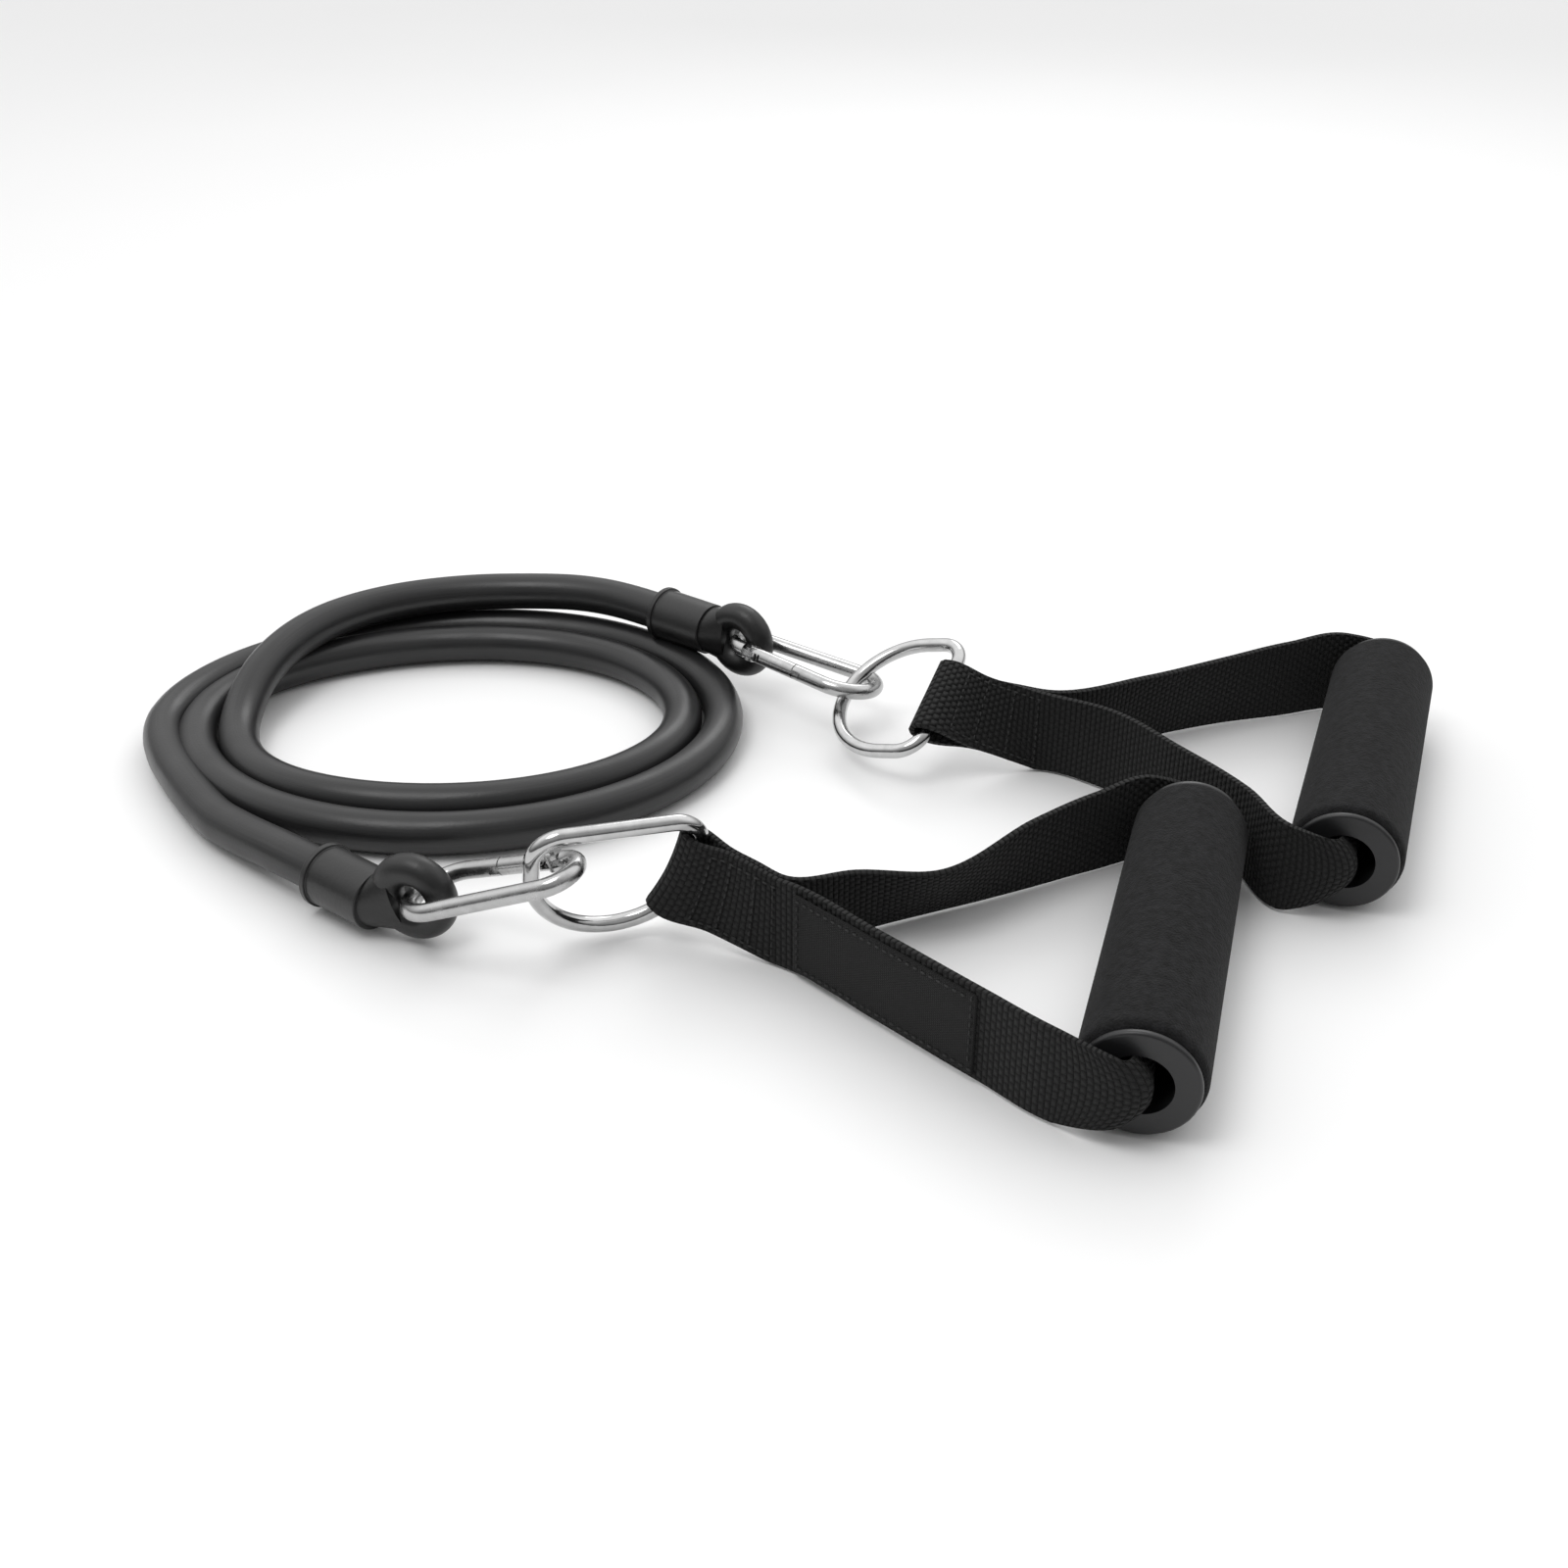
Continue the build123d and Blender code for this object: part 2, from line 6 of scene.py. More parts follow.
import bmesh
import bpy
from mathutils import Vector, noise
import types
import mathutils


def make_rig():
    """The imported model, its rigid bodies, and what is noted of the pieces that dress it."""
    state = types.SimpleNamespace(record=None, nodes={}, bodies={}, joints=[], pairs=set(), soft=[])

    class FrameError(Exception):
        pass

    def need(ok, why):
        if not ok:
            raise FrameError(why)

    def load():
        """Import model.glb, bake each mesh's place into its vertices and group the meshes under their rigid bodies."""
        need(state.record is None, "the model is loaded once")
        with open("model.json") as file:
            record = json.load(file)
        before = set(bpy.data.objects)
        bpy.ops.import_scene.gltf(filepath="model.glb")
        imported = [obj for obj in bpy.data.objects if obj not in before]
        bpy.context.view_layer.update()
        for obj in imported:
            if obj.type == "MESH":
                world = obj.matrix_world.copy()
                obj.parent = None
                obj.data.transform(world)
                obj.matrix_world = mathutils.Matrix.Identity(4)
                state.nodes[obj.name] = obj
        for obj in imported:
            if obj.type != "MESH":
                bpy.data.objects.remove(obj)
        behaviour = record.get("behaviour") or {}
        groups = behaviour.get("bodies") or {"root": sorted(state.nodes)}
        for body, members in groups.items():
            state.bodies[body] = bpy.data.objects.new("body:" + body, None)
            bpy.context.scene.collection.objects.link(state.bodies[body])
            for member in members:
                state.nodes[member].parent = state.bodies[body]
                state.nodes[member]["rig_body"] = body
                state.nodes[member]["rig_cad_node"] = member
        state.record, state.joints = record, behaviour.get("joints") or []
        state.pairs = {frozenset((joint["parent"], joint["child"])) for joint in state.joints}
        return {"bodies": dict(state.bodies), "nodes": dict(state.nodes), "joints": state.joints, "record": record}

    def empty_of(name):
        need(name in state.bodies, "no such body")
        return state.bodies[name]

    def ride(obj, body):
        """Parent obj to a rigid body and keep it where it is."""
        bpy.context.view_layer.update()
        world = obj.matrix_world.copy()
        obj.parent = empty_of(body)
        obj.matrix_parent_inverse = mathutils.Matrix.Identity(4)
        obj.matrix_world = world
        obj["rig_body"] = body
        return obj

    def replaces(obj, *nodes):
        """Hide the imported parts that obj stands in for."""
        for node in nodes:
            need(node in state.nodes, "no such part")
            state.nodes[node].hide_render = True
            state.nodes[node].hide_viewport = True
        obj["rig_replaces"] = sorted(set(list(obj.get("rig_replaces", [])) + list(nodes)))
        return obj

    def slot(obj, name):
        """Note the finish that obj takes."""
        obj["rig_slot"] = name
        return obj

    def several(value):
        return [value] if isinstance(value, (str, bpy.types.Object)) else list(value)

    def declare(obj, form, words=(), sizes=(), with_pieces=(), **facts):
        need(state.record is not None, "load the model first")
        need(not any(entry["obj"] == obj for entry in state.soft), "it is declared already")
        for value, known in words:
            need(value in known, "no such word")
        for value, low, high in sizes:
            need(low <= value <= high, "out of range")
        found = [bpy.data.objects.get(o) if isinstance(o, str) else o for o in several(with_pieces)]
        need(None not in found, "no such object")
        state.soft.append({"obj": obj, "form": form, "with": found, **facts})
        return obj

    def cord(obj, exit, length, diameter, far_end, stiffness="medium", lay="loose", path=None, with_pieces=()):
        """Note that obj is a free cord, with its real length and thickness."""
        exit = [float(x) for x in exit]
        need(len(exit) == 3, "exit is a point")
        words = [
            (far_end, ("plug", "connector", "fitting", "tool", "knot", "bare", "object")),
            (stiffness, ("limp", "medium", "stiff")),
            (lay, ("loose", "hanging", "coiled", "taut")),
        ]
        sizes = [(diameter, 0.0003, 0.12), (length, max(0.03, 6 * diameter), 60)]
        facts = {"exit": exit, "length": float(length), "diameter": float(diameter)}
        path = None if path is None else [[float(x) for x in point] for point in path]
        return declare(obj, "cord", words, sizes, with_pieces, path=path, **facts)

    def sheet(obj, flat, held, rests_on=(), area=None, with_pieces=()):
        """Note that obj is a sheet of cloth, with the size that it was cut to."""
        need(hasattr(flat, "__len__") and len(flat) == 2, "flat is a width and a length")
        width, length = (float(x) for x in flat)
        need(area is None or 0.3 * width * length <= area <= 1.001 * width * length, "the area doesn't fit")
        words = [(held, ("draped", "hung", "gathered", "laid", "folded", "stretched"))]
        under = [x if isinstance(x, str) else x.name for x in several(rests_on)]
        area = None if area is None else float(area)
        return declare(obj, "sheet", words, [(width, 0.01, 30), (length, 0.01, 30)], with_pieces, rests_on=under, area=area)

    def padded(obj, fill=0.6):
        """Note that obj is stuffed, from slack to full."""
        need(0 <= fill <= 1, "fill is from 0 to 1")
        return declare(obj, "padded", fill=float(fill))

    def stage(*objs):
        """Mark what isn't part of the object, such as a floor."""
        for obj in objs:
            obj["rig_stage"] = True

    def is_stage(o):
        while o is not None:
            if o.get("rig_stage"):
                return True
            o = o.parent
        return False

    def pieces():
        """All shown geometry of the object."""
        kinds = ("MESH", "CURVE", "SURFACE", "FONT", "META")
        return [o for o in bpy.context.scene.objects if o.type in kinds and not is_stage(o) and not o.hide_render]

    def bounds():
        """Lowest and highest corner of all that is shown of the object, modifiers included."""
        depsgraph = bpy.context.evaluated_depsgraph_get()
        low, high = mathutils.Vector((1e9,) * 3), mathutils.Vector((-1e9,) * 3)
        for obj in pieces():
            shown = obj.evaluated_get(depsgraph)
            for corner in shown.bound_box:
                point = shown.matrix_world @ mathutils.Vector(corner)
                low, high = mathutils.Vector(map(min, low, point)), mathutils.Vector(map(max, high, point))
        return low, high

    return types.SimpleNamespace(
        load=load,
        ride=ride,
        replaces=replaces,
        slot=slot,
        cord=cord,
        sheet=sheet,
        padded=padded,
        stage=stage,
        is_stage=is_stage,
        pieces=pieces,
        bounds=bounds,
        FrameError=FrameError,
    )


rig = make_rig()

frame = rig.load()
low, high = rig.bounds()
with open("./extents.json", "w") as handle:
    json.dump({"cad": [list(low), list(high)]}, handle)

MM = 0.001
CENTRING = Vector((2.8, -4.0, 0.0)) * MM        # the same shift as in the CAD


def mm(x, y, z):
    """Point given in the CAD's layout millimetres, in the row frame's metres."""
    return Vector((x, y, z)) * MM + CENTRING


# ---------------------------------------------------------------- camera
CAMERA_AT, CAMERA_AIM = (-45.0, -501.9, 317.0), (-45.0, 50.0, 0.0)
camera_data = bpy.data.cameras.new("camera")
camera = bpy.data.objects.new("camera", camera_data)
bpy.context.scene.collection.objects.link(camera)
camera_data.sensor_width = 36.0
camera_data.lens = 42.35
camera_data.clip_start = 0.01
camera.location = mm(*CAMERA_AT)
aim = mm(*CAMERA_AIM)
camera.rotation_euler = (aim - camera.location).to_track_quat("-Z", "Y").to_euler()
bpy.context.scene.camera = camera


# ---------------------------------------------------------------- material helpers
class Nodes:
    """A new node material with its principled shader, and short ways to add to it."""

    def __init__(self, name, colour, roughness, metallic=0.0, sheen=0.0, gloss=0.5):
        self.material = bpy.data.materials.new(name)
        self.material.use_nodes = True
        self.tree = self.material.node_tree
        self.shader = self.tree.nodes["Principled BSDF"]
        self.shader.inputs["Base Color"].default_value = (*colour, 1.0)
        self.shader.inputs["Roughness"].default_value = roughness
        self.shader.inputs["Metallic"].default_value = metallic
        self.shader.inputs["Sheen Weight"].default_value = sheen
        self.shader.inputs["Specular IOR Level"].default_value = gloss
        self.height = None

    def add(self, kind, **values):
        """New node of this kind, with attributes and input defaults set by name."""
        node = self.tree.nodes.new(kind)
        for key, value in values.items():
            if hasattr(node, key):
                setattr(node, key, value)
            else:
                node.inputs[key.replace("_", " ")].default_value = value
        return node

    def link(self, start, end):
        self.tree.links.new(start, end)

    def math(self, operation, first, second=0.0):
        """Result of a math node on sockets or numbers."""
        node = self.add("ShaderNodeMath", operation=operation)
        for socket, value in zip(node.inputs, (first, second)):
            if hasattr(value, "is_output"):
                self.link(value, socket)
            else:
                socket.default_value = value
        return node.outputs[0]

    def place(self, kind="Object"):
        return self.add("ShaderNodeTexCoord").outputs[kind]

    def noise(self, scale, detail=3.0, rough=0.5, stretch=None, kind="Object"):
        """Noise texture over object space or UV, optionally stretched."""
        where = self.place(kind)
        if stretch:
            mapping = self.add("ShaderNodeMapping")
            mapping.inputs["Scale"].default_value = stretch
            self.link(where, mapping.inputs["Vector"])
            where = mapping.outputs[0]
        node = self.add("ShaderNodeTexNoise", Scale=scale, Detail=detail, Roughness=rough)
        self.link(where, node.inputs["Vector"])
        return node.outputs["Fac"]

    def spread(self, socket, low_value, high_value, start=0.3, end=0.7):
        """Map a factor to a range."""
        node = self.add("ShaderNodeMapRange")
        for key, value in (("From Min", start), ("From Max", end),
                           ("To Min", low_value), ("To Max", high_value)):
            node.inputs[key].default_value = value
        self.link(socket, node.inputs["Value"])
        return node.outputs[0]

    def tint(self, socket, dark, light):
        """Base colour between two colours by a factor."""
        node = self.add("ShaderNodeMix", data_type="RGBA")
        node.inputs["A"].default_value = (*dark, 1.0)
        node.inputs["B"].default_value = (*light, 1.0)
        self.link(socket, node.inputs["Factor"])
        self.link(node.outputs["Result"], self.shader.inputs["Base Color"])

    def rough(self, socket):
        self.link(socket, self.shader.inputs["Roughness"])

    def bump(self, socket, depth):
        """Bump in metres, added on top of any earlier one."""
        node = self.add("ShaderNodeBump", Strength=1.0, Distance=depth)
        self.link(socket, node.inputs["Height"])
        if self.height:
            self.link(self.height, node.inputs["Normal"])
        self.height = node.outputs[0]
        self.link(self.height, self.shader.inputs["Normal"])


def rubber(name, tone, roughness, grain=900.0):
    """Black rubber with a faint bloom and a fine grain."""
    made = Nodes(name, (tone, tone, tone), roughness)
    cloud = made.noise(60.0, 4.0)
    made.tint(made.spread(cloud, 0.0, 1.0), (tone * 0.75,) * 3, (tone * 1.35,) * 3)
    made.rough(made.spread(cloud, roughness - 0.06, roughness + 0.08))
    made.bump(made.noise(grain, 2.0), 0.00006)
    made.bump(made.noise(120.0, 2.0), 0.00012)
    return made.material


def tube_rubber():
    """Extruded rubber: dull black, faintly streaked."""
    made = Nodes("tube_rubber", (0.010, 0.010, 0.011), 0.34)
    streak = made.noise(26.0, 3.0, stretch=(1.0, 5.0, 1.0), kind="UV")
    made.tint(made.spread(streak, 0.0, 1.0), (0.010,) * 3, (0.020, 0.020, 0.021))
    made.rough(made.spread(made.noise(45.0, 4.0), 0.28, 0.42))
    made.bump(made.noise(1100.0, 2.0), 0.00004)
    return made.material


def foam():
    """Fine-celled foam: matte, pitted, a little uneven in tone."""
    made = Nodes("grip_foam", (0.012, 0.012, 0.013), 0.88, sheen=0.03, gloss=0.16)
    made.shader.inputs["Sheen Roughness"].default_value = 0.6
    made.tint(made.spread(made.noise(420.0, 5.0), 0.0, 1.0), (0.006,) * 3, (0.016, 0.016, 0.017))
    cells = made.add("ShaderNodeTexVoronoi", Scale=1500.0)
    made.link(made.place(), cells.inputs["Vector"])
    made.bump(cells.outputs["Distance"], 0.00022)
    made.bump(made.noise(260.0, 4.0, 0.6), 0.0003)
    return made.material


def plastic():
    """Satin black moulded plastic with a light texture."""
    made = Nodes("cap_plastic", (0.014, 0.014, 0.015), 0.34)
    made.rough(made.spread(made.noise(90.0, 4.0), 0.28, 0.44))
    made.bump(made.noise(1600.0, 2.0), 0.00003)
    return made.material


def metal(name, tone, roughness, streak):
    """Bright plated wire with soft drawn streaks and small blemishes."""
    made = Nodes(name, (tone, tone, tone * 0.985), roughness, metallic=1.0)
    cloud = made.noise(240.0, 5.0, 0.6)
    made.tint(made.spread(cloud, 0.0, 1.0), (tone * 0.86,) * 3, (tone * 1.04,) * 3)
    made.rough(made.spread(cloud, roughness * 0.7, roughness * 1.6))
    made.bump(made.noise(streak, 3.0), 0.00003)
    return made.material


def webbing(name, row, column, depth, tone):
    """Woven webbing over UV in metres: ribs across, with yarns offset from row to row, with painted shade in the
    weave's hollows and painted highlight on its raised yarns.
    """
    made = Nodes(name, (tone, tone, tone), 0.75, sheen=0.03, gloss=0.2)
    made.shader.inputs["Sheen Roughness"].default_value = 0.5
    split = made.add("ShaderNodeSeparateXYZ")
    made.link(made.place("UV"), split.inputs[0])
    along, across = split.outputs["X"], split.outputs["Y"]
    line = made.math("DIVIDE", along, row)
    yarn = made.math("DIVIDE", across, column)
    shift = made.math("MULTIPLY", made.math("FLOOR", line), 0.5)
    rib = made.math("ABSOLUTE", made.math("SINE", made.math("MULTIPLY", line, pi)))
    cell = made.math("MULTIPLY", made.math("ADD", yarn, shift), pi)
    bead = made.math("ABSOLUTE", made.math("SINE", cell))
    weave = made.math("MULTIPLY", made.math("SQRT", rib), made.math("ADD", bead, 0.35))
    # colour follows the weave's height: painted shade in its hollows, painted highlight on its raised yarns (the label
    # cloth too)
    made.tint(made.spread(weave, 0.0, 1.0, 0.1, 1.2), (tone * 0.35,) * 3, (tone * 1.6,) * 3)
    made.bump(weave, depth)
    made.bump(made.noise(2600.0, 2.0), 0.00008)
    return made.material


TUBE_RUBBER = tube_rubber()
SLEEVE_RUBBER = rubber("sleeve_rubber", 0.013, 0.34)
EYE_RUBBER = rubber("eye_rubber", 0.011, 0.36)
FOAM = foam()
PLASTIC = plastic()
CORE = rubber("core_plastic", 0.03, 0.5)
HOOK = metal("hook_steel", 0.50, 0.20, 900.0)
RING = metal("ring_chrome", 0.56, 0.12, 500.0)
SPRING = metal("spring_steel", 0.55, 0.30, 900.0)
WEBBING = webbing("webbing", 0.0019, 0.0026, 0.0009, 0.012)
LABEL = webbing("label_cloth", 0.0007, 0.0008, 0.00015, 0.012)
THREAD = rubber("thread", 0.02, 0.7, grain=3000.0)


def give(thing, material):
    thing.data.materials.clear()
    thing.data.materials.append(material)


# ---------------------------------------------------------------- mesh helpers
TINY = 1e-9                                      # keeps a zero length out of a division


def new_mesh(name, vertices, faces, material, uvs=None):
    """Smooth mesh object from vertices, faces and optional per-vertex UV."""
    data = bpy.data.meshes.new(name)
    data.from_pydata([tuple(v) for v in vertices], [], faces)
    if uvs:
        layer = data.uv_layers.new(name="UVMap")
        for loop in data.loops:
            layer.data[loop.index].uv = uvs[loop.vertex_index]
    for polygon in data.polygons:
        polygon.use_smooth = True
    data.update()
    thing = bpy.data.objects.new(name, data)
    bpy.context.scene.collection.objects.link(thing)
    give(thing, material)
    return thing


def curve_round(stations, step):
    """Catmull-Rom samples round a closed list of stations, about this step apart.

    A station is a list of vectors, and the first of them sets the pace for all.
    """
    count = len(stations)
    result = []
    for i in range(count):
        four = [stations[(i + k) % count] for k in (-1, 0, 1, 2)]
        length = (four[2][0] - four[1][0]).length
        pieces = max(1, round(length / step))
        for j in range(pieces):
            t = j / pieces
            result.append([hermite(line, t) for line in zip(*four)])
    return result


def hermite(four, t):
    """Point between the middle two of four points, with tangents scaled to the spacing."""
    a, b, c, d = four
    span = (c - b).length
    before = max((b - a).length, TINY)
    after = max((d - c).length, TINY)
    start = (c - b) / max(span, TINY) + (b - a) / before - (c - a) / (span + before)
    end = (c - b) / max(span, TINY) + (d - c) / after - (d - b) / (span + after)
    start, end = start * span, end * span
    t2, t3 = t * t, t * t * t
    return (b * (2 * t3 - 3 * t2 + 1) + start * (t3 - 2 * t2 + t)
            + c * (3 * t2 - 2 * t3) + end * (t3 - t2))


# ---------------------------------------------------------------- rubber tube
TUBE_D = 0.014
COIL_FROM, COIL_TO, TURN_STEP = 96, 926, 22      # degrees of turn, far end to near end
COIL_CENTRE = (-161.0, 83.0)
# half axes of the coil in mm: along X where the tube crosses the centre's X line, and
# along Y where it crosses the centre's Y line, from the far end to the near end
HALF_X = [100.0, 79.0, 81.0, 94.0, 96.0, 107.0]
HALF_Y = [82.0, 60.0, 66.0, 79.0, 81.0, 84.0]
TOP_Z, FLOOR_Z = 21.4, 7.3
DROP_FROM, DROP_TO = 146.0, 192.0                # where the top turn comes down, degrees
FAR_LEAD = [(-91, 143, 22), (-104.4, 153.5, 22), (-121, 161.5, 22), (-138, 165, 21.6)]
NEAR_LEAD = [(-235, 18, 7.5), (-218, 2, 8.8), (-201, -12.3, 10.7), (-186, -24, 10.7)]


def eased(t):
    """From 0 to 1 with level ends."""
    return t * t * (3 - 2 * t)


def at_angle(values, first, angle):
    """Value between the marks, which start at this angle and come every half turn."""
    place = max(0.0, (angle - first) / 180.0)
    i = min(int(place), len(values) - 2)
    t = eased(min(place - i, 1.0))
    return values[i] * (1 - t) + values[i + 1] * t


def coil_points():
    """Points of the turns, anticlockwise from above."""
    points = []
    for angle in range(COIL_FROM, COIL_TO, TURN_STEP):
        a = radians(angle)
        fall = eased(max(0.0, min(1.0, (angle - DROP_FROM) / (DROP_TO - DROP_FROM))))
        x = COIL_CENTRE[0] + at_angle(HALF_X, 0, angle) * cos(a)
        y = COIL_CENTRE[1] + at_angle(HALF_Y, 90, angle) * sin(a)
        points.append((x, y, TOP_Z * (1 - fall) + FLOOR_Z * fall))
    return points


def make_tube():
    """Round curve from the far sleeve through the coil to the near sleeve."""
    route = [mm(*p) for p in FAR_LEAD + coil_points() + NEAR_LEAD]
    data = bpy.data.curves.new("rubber_tube", "CURVE")
    data.dimensions = "3D"
    data.bevel_depth = TUBE_D / 2
    data.bevel_resolution = 10
    data.resolution_u = 10
    data.use_fill_caps = True
    spline = data.splines.new("NURBS")
    spline.points.add(len(route) - 1)
    for point, place in zip(spline.points, route):
        point.co = (*place, 1.0)
    spline.use_endpoint_u = True
    spline.order_u = 3
    tube = bpy.data.objects.new("rubber_tube", data)
    bpy.context.scene.collection.objects.link(tube)
    data.materials.append(TUBE_RUBBER)
    return tube


def line_points(curve):
    """Points along a curve object's own line, in order."""
    depth = curve.data.bevel_depth
    curve.data.bevel_depth = 0.0
    mesh = bpy.data.meshes.new_from_object(curve)
    points = [v.co.copy() for v in mesh.vertices]
    curve.data.bevel_depth = depth
    bpy.data.meshes.remove(mesh)
    return points


def as_mesh(curve):
    """Mesh object that takes the place and the name of a curve object."""
    name = curve.name
    mesh = bpy.data.meshes.new_from_object(curve)
    bpy.data.objects.remove(curve)
    piece = bpy.data.objects.new(name, mesh)
    bpy.context.scene.collection.objects.link(piece)
    return piece


tube_curve = make_tube()
route = line_points(tube_curve)
tube_length = sum((b - a).length for a, b in zip(route, route[1:]))
tube = as_mesh(tube_curve)
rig.ride(tube, "tube")
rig.replaces(tube, "tube_coil", "near_tube_lead", "far_tube_lead")
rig.slot(tube, "tube_rubber")
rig.cord(tube, exit=route[0], length=round(tube_length, 3), diameter=TUBE_D,
        far_end="object", stiffness="stiff", lay="coiled", path=route)


# ---------------------------------------------------------------- webbing straps
WEB_W, WEB_T = 30.0, 1.9                         # mm
WEB_LOW, WEB_FLOOR = 0.6, 1.0                    # low edge, and least height of the cloth
ACROSS, ALONG_STEP = 15, 2.2                     # points across, and step along in mm
WEB_EDGE = 0.4                                   # rounding of the webbing's edges
PLY_OFF = 1.05                                   # ply centre from the sewn stretch's middle
PLY_AT = (0.42, 0.7, 1.0)                        # ply stations from the ring to the split
FOLD_R, FOLD_STEP = 3.6, 30                      # fold round the wire: mm, degrees
GRIP_L = 133.0
BEND_IN, BEND_OUT = (9.5, 6.0), (10.5, 6.0)      # curl at the grip's ends: half height, dip
BEND_PAST = 1.5                                  # the bend's centre, back towards the grip
MOUTH, GATHERED = 4.0, 30.0                      # stations inside the grip from its ends
CURL_HALF, CURL_DIP = 7.0, 5.0                   # curled section inside the grip


def upright(x, y, lean=0.0):
    """Station of webbing on its edge, its top leaning this many degrees to the front."""
    a = radians(lean)
    half = Vector((0.0, -sin(a), cos(a))) * WEB_W / 2
    middle = Vector((x, y, WEB_LOW + half.z))
    return [middle - half, middle, middle + half]


def curled(centre, run, half, dip):
    """Station of webbing curled to a C about a point, on a level run."""
    side = Vector((run.y, -run.x, 0))
    return [centre - Vector((0, 0, half)) - side * dip * 0.5,
            centre + side * dip * 0.5,
            centre + Vector((0, 0, half)) - side * dip * 0.5]


def fold_stations(marks, ahead):
    """Stations of the fold round the ring wire, from one ply round to the other."""
    axis = (marks[2] - marks[0]).normalized()
    out = (ahead - axis * ahead.dot(axis)).normalized()
    side = axis.cross(out)
    stations = []
    for degrees in range(-90, 91, FOLD_STEP):
        a = radians(degrees)
        stations.append([mark - out * cos(a) * FOLD_R + side * sin(a) * FOLD_R
                         for mark in marks])
    return stations


def strap_stations(side):
    """Closed list of stations: fold, front ply, grip, rear ply and back."""
    marks = [Vector(m) for m in side["marks"]]
    split = Vector((*side["split"], 0))
    root = Vector((marks[1].x, marks[1].y, 0))
    run = (split - root).normalized()
    folds = fold_stations(marks, run)
    length = (split - root).length
    grip, grip_dir = Vector(side["grip_at"]), Vector(side["grip_dir"]).normalized()
    front = grip - grip_dir * side["front_reach"]
    rear = grip + grip_dir * (GRIP_L + side["rear_reach"])

    def ply(sign, parts):
        row = []
        for t in parts:
            place = root + run * length * t
            middle = blend_up(marks, upright(place.x, place.y), t)
            out = run.cross(middle[2] - middle[0]).normalized() * sign * PLY_OFF
            row.append([point + out for point in middle])
        return row

    front_ply = [upright(*via) for via in side["front_via"]]
    rear_ply = [upright(*via) for via in side["rear_via"]]
    bend_in = curled(front + grip_dir * BEND_PAST, grip_dir, *BEND_IN)
    through = []
    for along in (MOUTH, GATHERED, GRIP_L / 2, GRIP_L - GATHERED, GRIP_L - MOUTH):
        through.append(curled(grip + grip_dir * along, grip_dir, CURL_HALF, CURL_DIP))
    bend_out = curled(rear - grip_dir * BEND_PAST, grip_dir, *BEND_OUT)
    loop = front_ply + [bend_in] + through + [bend_out] + rear_ply
    return folds[::-1] + ply(1, PLY_AT) + loop + ply(-1, PLY_AT[::-1])


def blend_up(marks, stand, t):
    """Station between the fold's slant and an upright one."""
    middle = stand[1]
    base = Vector((middle.x, middle.y, marks[1].z * (1 - t) + middle.z * t))
    return [base + ((mark - marks[1]) * (1 - t) + (point - middle) * t)
            for mark, point in zip(marks, stand)]


def across_row(row, w):
    """Point across a station: w runs from -1 at the low edge to 1 at the high edge."""
    return row[0] * (w * (w - 1) / 2) + row[1] * (1 - w * w) + row[2] * (w * (w + 1) / 2)


def make_strap(name, side):
    """One loop of webbing as a closed ribbon, its length in metres and its rows."""
    rows = curve_round(strap_stations(side), ALONG_STEP)
    vertices, uvs, faces = [], [], []
    travelled = 0.0
    rows.append(rows[0])
    for i, row in enumerate(rows):
        if i:
            travelled += (row[1] - rows[i - 1][1]).length
        for j in range(ACROSS):
            w = 2 * j / (ACROSS - 1) - 1
            point = across_row(row, w)
            ripple = noise.noise(point * 0.035 + Vector((0, 0, 7))) * 0.35
            vertices.append(mm(point.x, point.y + ripple, max(point.z, WEB_FLOOR)))
            uvs.append((travelled * MM, w * WEB_W / 2 * MM))
    for i in range(len(rows) - 1):
        for j in range(ACROSS - 1):
            a = i * ACROSS + j
            faces.append((a, a + 1, a + ACROSS + 1, a + ACROSS))
    strap = new_mesh(name, vertices, faces, WEBBING, uvs)
    solid = strap.modifiers.new("thickness", "SOLIDIFY")
    solid.thickness = WEB_T * MM
    solid.offset = 0.0
    bevel = strap.modifiers.new("edges", "BEVEL")
    bevel.width = WEB_EDGE * MM
    bevel.segments = 2
    bevel.limit_method = "ANGLE"
    bevel.angle_limit = radians(60)
    return strap, travelled * MM, rows


# marks: the webbing's low edge, middle and high edge at the ring bar. split: where the plies
# part. vias: points of the plies' middle lines, with their lean in degrees. reaches: how
# far the webbing stands out of the grip's ends.
NEAR = {
    "marks": [(-82.5, -39.6, 9.6), (-75.6, -41.2, 22.6), (-70.8, -43.9, 37.6)],
    "split": (-46.0, -57.0),
    "front_via": [(-42.0, -61.0), (-20.0, -83.4), (8.0, -111.8), (23.0, -127.0)],
    "rear_via": [(72.0, 1.5), (52.0, -7.5, 4.0), (31.0, -20.0, 14.0), (0.0, -38.0, 34.0),
                 (-24.0, -46.0, 20.0)],
    "front_reach": 4.5, "rear_reach": 6.5,
    "grip_at": (45.0, -134.0, 17.5), "grip_dir": (0.2857, 0.9583, 0.0),
}
FAR = {
    "marks": [(1.7, 52.5, 18.8), (7.5, 64.9, 24.9), (13.4, 77.3, 31.1)],
    "split": (44.0, 60.0),
    "front_via": [(64.0, 47.0), (82.0, 22.0), (99.0, -6.0), (107.0, -28.0)],
    "rear_via": [(160.0, 106.0), (137.0, 99.5, 2.0), (113.0, 91.0, 12.0), (82.0, 78.0, 16.0)],
    "front_reach": 5.5, "rear_reach": 7.5,
    "grip_at": (125.0, -28.0, 17.5), "grip_dir": (0.3518, 0.9361, 0.0),
}


